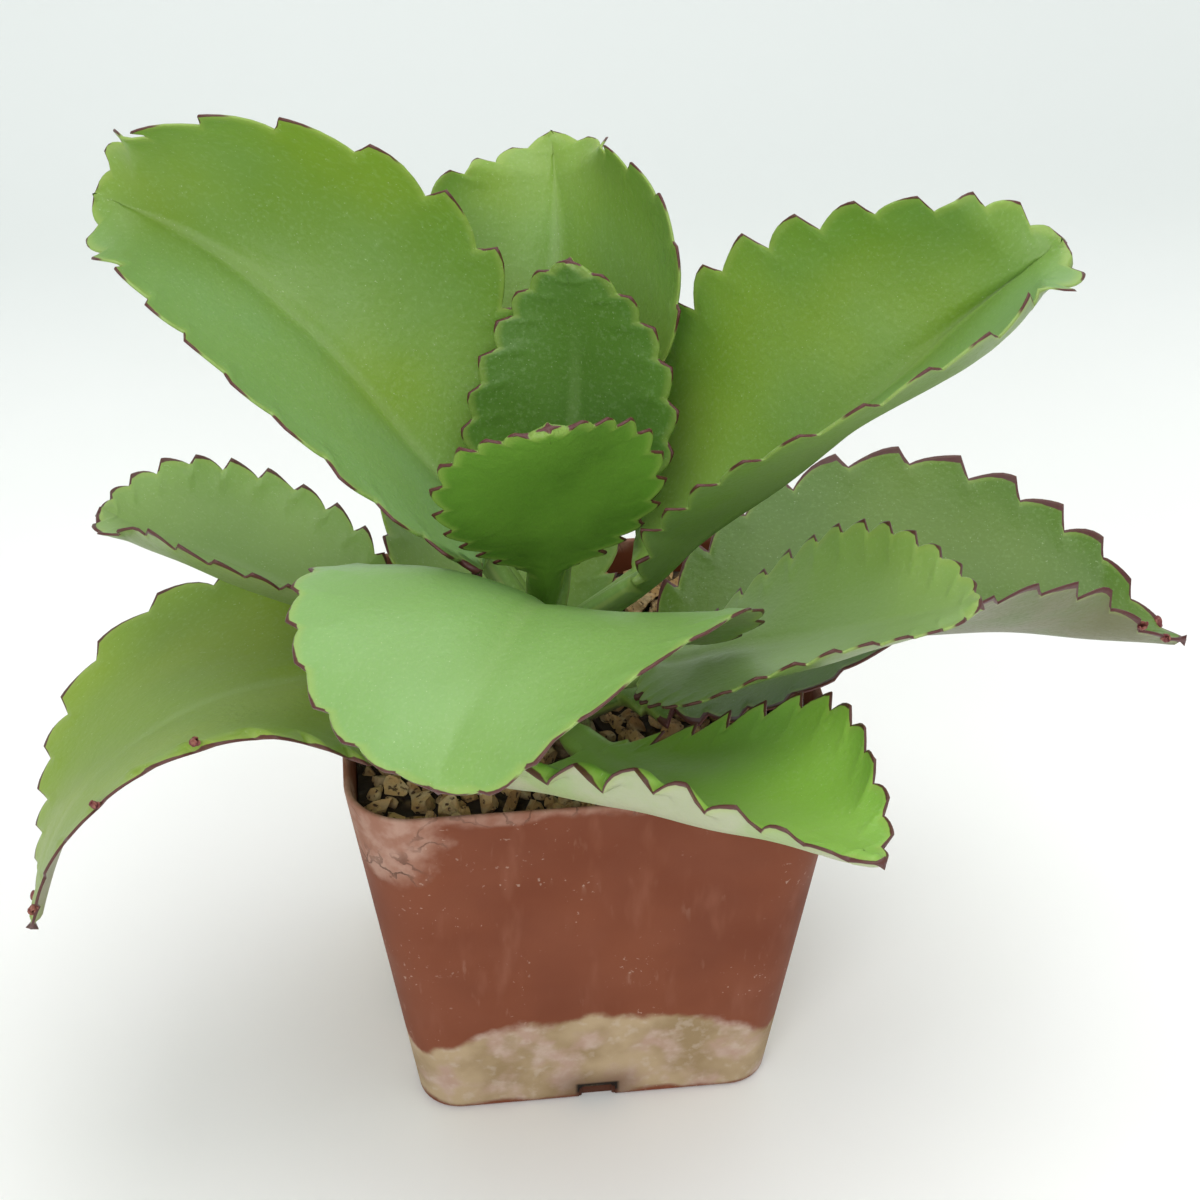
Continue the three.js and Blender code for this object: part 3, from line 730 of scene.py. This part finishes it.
def leaf_side(leaf, side, shares, phases, spans):
    """Flat places of one half's points, in rows from the midrib out, and each one's gap to the margin."""
    s, half, travelled = leaf_outline(leaf, side)
    at = shares * travelled[-1]
    edge_s, edge_x = np.interp(at, travelled, s), np.interp(at, travelled, half)
    before, after = np.maximum(at - 0.6, 0), np.minimum(at + 0.6, travelled[-1])
    run = np.stack([
        np.interp(after, travelled, line) - np.interp(before, travelled, line) for line in (s, half)
    ], -1)
    run /= np.linalg.norm(run, axis=1, keepdims=True)
    run[-1] = (0, -1)
    out = np.stack([-run[:, 1], run[:, 0]], -1)

    middle_s = leaf["petiole"] + leaf["length"] * shares
    row = np.stack([(edge_s - middle_s) * ROW_SWEEP, edge_x], -1)
    row[-1] = (1, 0)
    row /= np.linalg.norm(row, axis=1, keepdims=True)
    wobble = 1 + 0.16 * np.sin(shares * 47 + leaf["heading"]) + 0.1 * np.sin(shares * 23 + side)
    pitch = spans * travelled[-1]
    depth = leaf["depth"] * eased(shares / 0.16 + 0.12) * tip_fade(shares) * wobble
    depth = np.minimum(depth, pitch * TOOTH_STEEPEST)
    stretch = np.clip((row * out).sum(-1), 0.7, 1)
    push = row * (depth * (tooth_profile(phases, leaf["tip"]) - NOTCH_DEPTH) / stretch)[:, None]
    room = np.minimum(TOOTH_ROOM, pitch * 0.95)

    width = np.hypot(edge_s - middle_s, edge_x)
    v = lines_across(width)
    gap = (1 - v) * width[:, None]
    flat_s = middle_s[:, None] + (edge_s - middle_s)[:, None] * v ** ROW_SWEEP
    flat_x = edge_x[:, None] * v
    pull = 1 - eased(gap / room[:, None])
    flat_s = flat_s + pull * push[:, :1]
    flat_x = flat_x + pull * push[:, 1:]
    return flat_s, flat_x, gap


def stalk_side(leaf, side, stations):
    """The same for one half of the stalk, whose margin has no teeth and no rim."""
    half = half_width(leaf, stations, side)
    v = lines_across(half)
    return np.repeat(stations[:, None], v.shape[1], 1), half[:, None] * v, (1 - v) * half[:, None] + 3


def soft_half(leaf, s, side):
    """The half width, smoothed along the leaf, that the blade's crease and curl follow."""
    reach = np.linspace(-6, 6, 13)
    return half_width(leaf, s[..., None] + reach, side).mean(-1)


def raise_leaf(leaf, s, x, side):
    """Points in space for flat places (s, x), with the directions out from the face and out along it."""
    half = soft_half(leaf, s, side)
    t = np.clip((s - leaf["petiole"]) / leaf["length"], 0, 1)
    crease = np.radians(leaf["crease"] + leaf["lean"] * side / 2) * np.clip(half / SLACK_HALF, 0, 1)
    bend = np.radians(mix(*leaf["curl"], t) + leaf["lean"] * side) / np.maximum(half, SLACK_HALF)
    bend = np.where(np.abs(bend) < 1e-5, 1e-5, bend)
    angle = crease + bend * x
    out = (np.sin(angle) - np.sin(crease)) / bend
    lift = (np.cos(crease) - np.cos(angle)) / bend
    _, across, up = leaf_directions(leaf, s)
    middle = midrib_points(leaf, s) + side * out[..., None] * across + lift[..., None] * up
    normal = up * np.cos(angle)[..., None] - side * across * np.sin(angle)[..., None]
    outward = side * across * np.cos(angle)[..., None] + up * np.sin(angle)[..., None]
    return middle, normal, outward


def make_leaf(leaf):
    shares, phases, spans = tooth_rows(leaf)
    stations = np.linspace(1.5, leaf["petiole"], STALK_ROWS)[:-1]
    whole_phases = np.concatenate([np.zeros(len(stations)), phases])
    whole_shares = np.concatenate([np.zeros(len(stations)), shares])
    seed = leaf["heading"] * 0.37 + leaf["node"]
    halves = []
    for side in (-1, 1):
        blade = leaf_side(leaf, side, shares, phases, spans)
        stalk = stalk_side(leaf, side, stations)
        s, x, gap = (np.concatenate([a, b]) for a, b in zip(stalk, blade))
        middle, normal, outward = raise_leaf(leaf, s, x, side)
        half = np.maximum(half_width(leaf, s, side), 0.6)
        t = (s - leaf["petiole"]) / leaf["length"]
        fleshy = eased((t + 0.05) / 0.2)[..., None]
        v = np.clip(x / half, 0, 1)[..., None]
        blade_depth = mix(BLADE_DEPTH[0], BLADE_DEPTH[1], eased(v * 1.05))
        stalk_depth = STALK_DEPTH * np.sqrt(np.clip(1 - 0.85 * v ** 2, 0.1, 1))
        depth = mix(stalk_depth, blade_depth, fleshy)

        # gentle swells in the blade, and a low bump just inside each notch
        swell = np.sin(s / 9.1 + seed) * np.sin(x * side / 7.7 + seed * 2)
        swell = swell + 0.6 * np.sin(s / 5.2 - x / 6.3 + seed)
        swell = SWELL_HEIGHT * swell[..., None] * fleshy
        toothed = eased((whole_shares - 0.02) / 0.04) * eased((0.97 - whole_shares) / 0.06)
        ring = (np.cos(2 * np.pi * whole_phases).clip(0) ** 1.5 * toothed)[:, None]
        bump = NOTCH_BUMP * (ring * np.exp(-(((gap - 3.6) / 1.8) ** 2)))[..., None]
        reach = tooth_profile(whole_phases, leaf["tip"])[:, None]
        flick = TOOTH_FLICK * (reach - 0.5) * np.clip(1 - gap / 4, 0, 1) * (whole_shares > 0.03)[:, None]
        middle = middle + normal * (swell + flick[..., None])

        # a rim rolled down along the margin, fading out towards the stalk and the tip
        turned = math.radians(leaf.get("rims", (0, 0))[0 if side < 0 else 1]) / RIM_WIDTH + 1e-6
        rolled = eased((whole_shares - 0.06) / 0.14) * eased((0.92 - whole_shares) / 0.35)
        past = (np.maximum(RIM_WIDTH - gap, 0) * rolled[:, None])[..., None]
        middle = middle - outward * (past - np.sin(turned * past) / turned)
        middle = middle - normal * ((1 - np.cos(turned * past)) / turned)
        normal, outward = (
            normal * np.cos(turned * past) + outward * np.sin(turned * past),
            outward * np.cos(turned * past) - normal * np.sin(turned * past),
        )

        channel = (CHANNEL_DEPTH * np.exp(-((x / CHANNEL_HALF) ** 2)) * np.clip(1.15 - t, 0, 1))[..., None]
        keel = (KEEL_DEPTH * np.exp(-((x / KEEL_HALF) ** 2)) * np.clip(1.1 - t, 0, 1))[..., None]
        top = middle + normal * (0.45 * depth + bump - channel)
        bottom = middle - normal * (0.55 * depth + keel - 0.4 * bump)
        edge = middle[:, -1] + outward[:, -1] * EDGE_REACH
        onset = leaf.get("maroon", MAROON)[0]
        maroon = np.clip((whole_phases / leaf["tip"] - onset) / (0.95 - onset), 0, 1) * (whole_shares > 0.08)
        halves.append(dict(top=top, bottom=bottom, edge=edge, s=s, x=x * side, gap=gap, maroon=maroon))

    left, right = halves
    columns = left["x"].shape[1]

    def around(top_left, top_right, edge_right, bottom_right, bottom_left, edge_left):
        """One value per point of each ring: over the top from left to right, then back underneath."""
        return np.concatenate([
            top_left[:, :0:-1], top_right, edge_right[:, None], bottom_right[:, ::-1], bottom_left[:, 1:],
            edge_left[:, None],
        ], axis=1)

    rings = around(left["top"], right["top"], right["edge"], right["bottom"], left["bottom"], left["edge"])
    made = mesh_object(
        leaf["name"] + "_blade", rings.reshape(-1, 3), skin_faces(rings.shape[0], rings.shape[1])
    )
    rows = rings.shape[0]

    def store(name, values):
        made.data.attributes.new(name, "FLOAT", "POINT").data.foreach_set("value", values.reshape(-1))

    zero, one = np.zeros((rows, columns)), np.ones((rows, columns))
    edge_shade, edge_gap = np.full(rows, EDGE_SHADE), np.full(rows, EDGE_GAP)
    store("underside", around(zero, zero, edge_shade, one, one, edge_shade))
    store("margin_gap", around(left["gap"], right["gap"], edge_gap, right["gap"], left["gap"], edge_gap))
    maroon_l, maroon_r = (np.repeat(h["maroon"][:, None], columns, 1) for h in halves)
    store("tooth_red", around(maroon_l, maroon_r, maroon_r[:, -1], maroon_r, maroon_l, maroon_l[:, -1]))
    place_s = around(left["s"], right["s"], right["s"][:, -1], right["s"], left["s"], left["s"][:, -1])
    place_x = around(left["x"], right["x"], right["x"][:, -1], right["x"], left["x"], left["x"][:, -1])
    place = np.stack([place_s, place_x, np.full_like(place_s, seed)], -1) * MM
    stored = made.data.attributes.new("blade_place", "FLOAT_VECTOR", "POINT")
    stored.data.foreach_set("vector", place.reshape(-1))
    store("along", (place_s - leaf["petiole"]) / leaf["length"])
    return made


def leaf_skin_group():
    """The colour, roughness and relief of a leaf's skin, from where each point is on the leaf."""
    tree = bpy.data.node_groups.new("leaf_skin", "ShaderNodeTree")
    for name in ("Deep", "Bright", "Bloom", "Under"):
        tree.interface.new_socket(name, in_out="INPUT", socket_type="NodeSocketColor")
    for name in ("Waxed Half", "Maroon Width"):
        tree.interface.new_socket(name, in_out="INPUT", socket_type="NodeSocketFloat")
    tree.interface.new_socket("Color", in_out="OUTPUT", socket_type="NodeSocketColor")
    for name in ("Roughness", "Height"):
        tree.interface.new_socket(name, in_out="OUTPUT", socket_type="NodeSocketFloat")
    given = tree.nodes.new("NodeGroupInput").outputs
    result = tree.nodes.new("NodeGroupOutput").inputs

    def read(name, output="Fac"):
        return node(tree, "ShaderNodeAttribute", attribute_name=name).outputs[output]

    place = read("blade_place", "Vector")
    gap, red, under, along = (read(name) for name in ("margin_gap", "tooth_red", "underside", "along"))
    sideways = node(tree, "ShaderNodeSeparateXYZ", {0: place}).outputs[1]
    x = maths(tree, "ABSOLUTE", sideways)

    colour = blend(tree, mottle(tree, place, 22, 0.3, 0.7, 2), given["Deep"], given["Bright"])
    waxed = times(tree, mottle(tree, place, 30, 0.35, 0.75, 3), 0.35, 0.06)
    waxed = maths(tree, "ADD", waxed, times(tree, between(tree, along, 0.45, 0.0), 0.2))
    waxed_half = between(tree, times(tree, sideways, given["Waxed Half"]), -0.004, 0.012)
    waxed = times(tree, waxed_half, 0.55, waxed)
    colour = blend(tree, maths(tree, "MINIMUM", waxed, 1.0), colour, given["Bloom"])
    rib = times(tree, between(tree, x, 0.0022, 0.0004), between(tree, along, 0.95, 0.3))
    colour = blend(tree, times(tree, rib, 0.2), colour, (0.36, 0.50, 0.20, 1))
    grain = mottle(tree, place, 1300, 0.5, 0.72, 3)
    colour = blend(tree, times(tree, grain, 0.10), colour, (0.45, 0.60, 0.32, 1))
    # Painted glints: tiny pale flecks that stand in for highlights on the skin.
    painted_glints = mottle(tree, place, 2600, 0.74, 0.78, 1)
    colour = blend(tree, times(tree, painted_glints, 0.35), colour, (0.65, 0.75, 0.5, 1))

    below = blend(tree, mottle(tree, place, 70, 0.42, 0.68, 4), given["Under"], given["Deep"])
    below = blend(tree, 0.6, below, given["Under"])
    colour = blend(tree, under, colour, below)

    rim = times(tree, between(tree, gap, 2.0, 0.2), 0.4)
    colour = blend(tree, rim, colour, (0.34, 0.44, 0.10, 1))
    wander = times(tree, mottle(tree, place, 260, 0.3, 0.7, 4), 0.25)
    wide = times(tree, times(tree, red, red), given["Maroon Width"])
    reach = maths(tree, "ADD", wide, maths(tree, "ADD", wander, -0.2))
    line = between(tree, maths(tree, "SUBTRACT", reach, gap), -0.1, 0.15)
    line = times(tree, line, between(tree, red, 0.0, 0.3))
    colour = blend(tree, times(tree, line, 0.95), colour, (0.085, 0.010, 0.020, 1))
    tree.links.new(colour, result["Color"])
    rough = times(tree, grain, 0.12, 0.42)
    tree.links.new(rough, result["Roughness"])
    fine = noise(tree, place, 700.0, 4.0)
    pores = noise(tree, place, 120.0, 2.0)
    tree.links.new(times(tree, pores, 1.6, fine), result["Height"])
    return tree


LEAF_SKIN = leaf_skin_group()


def leaf_material(leaf):
    material, tree, shader = new_material(leaf["name"] + "_skin")
    skin = node(tree, "ShaderNodeGroup", node_tree=LEAF_SKIN)
    for name in ("Deep", "Bright", "Bloom", "Under"):
        skin.inputs[name].default_value = (*leaf["look"][name.lower()], 1)
    skin.inputs["Waxed Half"].default_value = leaf.get("waxed", 0)
    skin.inputs["Maroon Width"].default_value = leaf.get("maroon", MAROON)[1]
    tree.links.new(skin.outputs["Color"], shader.inputs["Base Color"])
    tree.links.new(skin.outputs["Roughness"], shader.inputs["Roughness"])
    finish_with_bump(tree, shader, skin.outputs["Height"], 0.00012)
    shader.inputs["Subsurface Weight"].default_value = 0.12
    shader.inputs["Subsurface Radius"].default_value = (0.6, 1.0, 0.2)
    shader.inputs["Subsurface Scale"].default_value = 0.0025
    shader.inputs["Specular IOR Level"].default_value = 0.4
    return material


for leaf in LEAVES:
    blade = make_leaf(leaf)
    blade.data.materials.append(leaf_material(leaf))
    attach(blade, "root")
    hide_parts(leaf["name"])

# ---------------------------------------------------------------- bulbils
# Plantlets budding in the notches of the oldest leaves, where they dry and curl: tight maroon-brown clusters
# of a few scale leaves, a few millimetres across, placed at notches of the margin.

BULBIL_SCALE = np.array([0.42, 0.75, 1.5])  # half the thickness, width and length of one scale leaf
BULBIL_SCALES = 5
BULBIL_CURL = 0.14
BULBIL_PLACES = {  # side and share of the margin's length; each sits in the notch nearest to it
    "leaf_6_left": [(-1, 0.60), (-1, 0.73), (-1, 0.985), (1, 0.97)],
    "leaf_6_right": [(-1, 0.93), (-1, 0.985), (1, 0.90), (1, 0.975)],
}


def notch_place(leaf, side, share):
    """The flat place of the notch between two teeth that is nearest to a share of the margin's length."""
    shares, phases, _ = tooth_rows(leaf)
    notches = shares[phases == 0]
    share = notches[np.abs(notches - share).argmin()]
    s, half, travelled = leaf_outline(leaf, side)
    edge = np.array([np.interp(share * travelled[-1], travelled, line) for line in (s, half)])
    row = np.array([(edge[0] - leaf["petiole"] - leaf["length"] * share) * ROW_SWEEP, edge[1]])
    return edge - row / np.linalg.norm(row) * min(NOTCH_DEPTH * leaf["depth"] * tip_fade(share), edge[1])


def bulbil(place, outward, normal):
    """The points of one cluster: scale leaves fanned round the way out of the margin, each curled inwards."""
    side = np.cross(normal, outward)
    points = []
    for n in range(BULBIL_SCALES):
        scale = coarse_sphere * BULBIL_SCALE * rng.uniform(0.75, 1.15)
        curled = scale[:, 2] + BULBIL_SCALE[2]
        scale = np.stack([scale[:, 0] + BULBIL_CURL * curled ** 2, scale[:, 1], curled], -1)
        turn = n / BULBIL_SCALES * 2 * math.pi + rng.uniform(-0.3, 0.3)
        away = normal * math.cos(turn) + side * math.sin(turn)
        tilt = rng.uniform(0.3, 0.75)
        axis = outward * math.cos(tilt) + away * math.sin(tilt)
        inner = outward * math.sin(tilt) - away * math.cos(tilt)
        points.append(place + scale @ np.stack([inner, np.cross(axis, inner), axis]))
    return points


def bulbil_material():
    material, tree, shader = new_material("dry_maroon_bulbil", roughness=0.7)
    place = node(tree, "ShaderNodeTexCoord").outputs["Object"]
    colour = blend(tree, mottle(tree, place, 900, 0.4, 0.65), (0.16, 0.025, 0.03, 1), (0.30, 0.11, 0.075, 1))
    tree.links.new(colour, shader.inputs["Base Color"])
    finish_with_bump(tree, shader, mottle(tree, place, 1800), 0.0001)
    return material


BULBIL = bulbil_material()
for leaf in LEAVES:
    clusters = []
    for side, share in BULBIL_PLACES.get(leaf["name"], []):
        s, x = notch_place(leaf, side, share)[:, None]
        place, normal, outward = raise_leaf(leaf, s, x, side)
        clusters += bulbil(place[0], outward[0], normal[0])
    if clusters:
        faces = [(coarse_faces + k * len(coarse_sphere)).tolist() for k in range(len(clusters))]
        buds = mesh_object(leaf["name"] + "_bulbils", np.concatenate(clusters), sum(faces, []))
        buds.data.materials.append(BULBIL)
        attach(buds, "root")

# ---------------------------------------------------------------- studio
# A plain white sweep under soft light from overhead, with a camera a little above the plant.


def make_sweep():
    """A floor that curves up into a wall behind the plant."""
    bend, wall, front, top, half = 260.0, 700.0, -1600.0, 1800.0, 2200.0
    foot = wall - bend
    turns = np.linspace(0.1, math.pi / 2, 14)
    curve = [(foot + bend * math.sin(a), bend - bend * math.cos(a)) for a in turns]
    profile = [(front, 0.0), (0.0, 0.0), (foot, 0.0), *curve, (wall, top)]
    points = [(x, y, z) for y, z in profile for x in (-half, half)]
    faces = [(2 * i, 2 * i + 1, 2 * i + 3, 2 * i + 2) for i in range(len(profile) - 1)]
    return mesh_object("sweep", np.array(points), faces)


def sweep_material():
    material, tree, shader = new_material("white_board", roughness=0.85)
    place = node(tree, "ShaderNodeTexCoord").outputs["Object"]
    depth = node(tree, "ShaderNodeSeparateXYZ", {0: place}).outputs[1]
    board = blend(tree, mottle(tree, place, 6), (0.91, 0.915, 0.885, 1), (0.94, 0.94, 0.92, 1))
    # Greyer from a little behind the plant up the wall: painted shade where the backdrop gets less light.
    colour = blend(tree, between(tree, depth, 0.12, 0.5), board, (0.73, 0.76, 0.74, 1))
    tree.links.new(colour, shader.inputs["Base Color"])
    return material


def point_at(thing, place, aim):
    thing.location = place
    thing.rotation_euler = (Vector(aim) - Vector(place)).to_track_quat("-Z", "Y").to_euler()


def soft_light(name, place, aim, size, power):
    data = bpy.data.lights.new(name, "AREA")
    data.shape = "DISK"
    data.size = size
    data.energy = power
    lamp = bpy.data.objects.new(name, data)
    bpy.context.scene.collection.objects.link(lamp)
    point_at(lamp, place, aim)


sweep = make_sweep()
sweep.data.materials.append(sweep_material())

soft_light("overhead", place=(0.15, -0.05, 1.15), aim=(0, 0, 0.1), size=1.2, power=7.8)
soft_light("front_fill", place=(-0.35, -1.1, 0.7), aim=(0, 0, 0.1), size=1.0, power=7.5)

world = bpy.data.worlds.new("studio_air")
bpy.context.scene.world = world
world.use_nodes = True
world.node_tree.nodes["Background"].inputs["Color"].default_value = (0.95, 0.98, 1.0, 1)
world.node_tree.nodes["Background"].inputs["Strength"].default_value = 0.55

camera_data = bpy.data.cameras.new("camera")
camera_data.lens = 66.0
camera_data.sensor_width = 36.0
camera = bpy.data.objects.new("camera", camera_data)
bpy.context.scene.collection.objects.link(camera)
point_at(camera, place=(-0.0405, -0.3841, 0.3529), aim=(0.0051, -0.0006, 0.10535))
bpy.context.scene.camera = camera
bpy.context.scene.view_settings.view_transform = "Standard"
